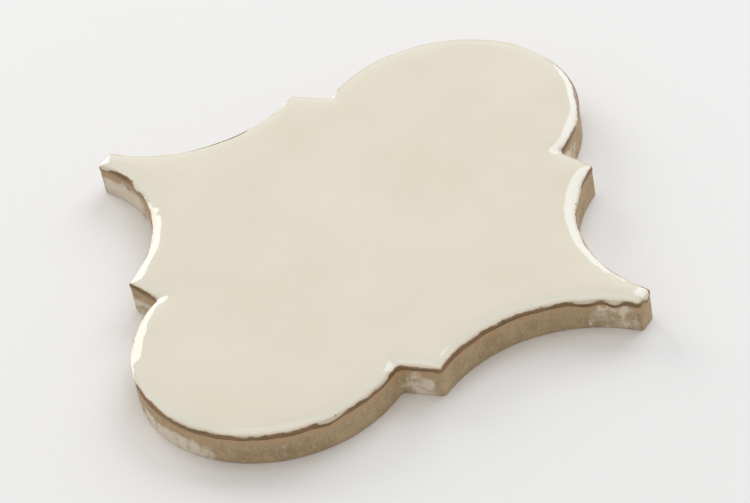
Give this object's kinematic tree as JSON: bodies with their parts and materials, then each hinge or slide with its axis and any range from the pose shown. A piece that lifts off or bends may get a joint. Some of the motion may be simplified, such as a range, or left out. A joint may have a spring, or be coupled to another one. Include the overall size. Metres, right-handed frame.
{
  "type": "arabesque tile",
  "caption": "Glazed ceramic tile in an arabesque outline of round lobes, blunt tips and round hollows, which interlocks with like tiles to cover a wall or floor.",
  "frame": {"origin": "centre of the flat back that the tile rests on", "axes": "+X to one blunt tip, +Y to one round lobe, +Z from the back to the glazed face"},
  "size_m": [0.1474, 0.1466, 0.009],
  "materials": {
    "glazed_ceramic": "glossy cream glaze on the face, breaking to a thin brown line at the rim, over bare tan clay walls and back"
  },
  "bodies": {
    "root": {"arabesque_tile": "glazed_ceramic"}
  },
  "joints": []
}
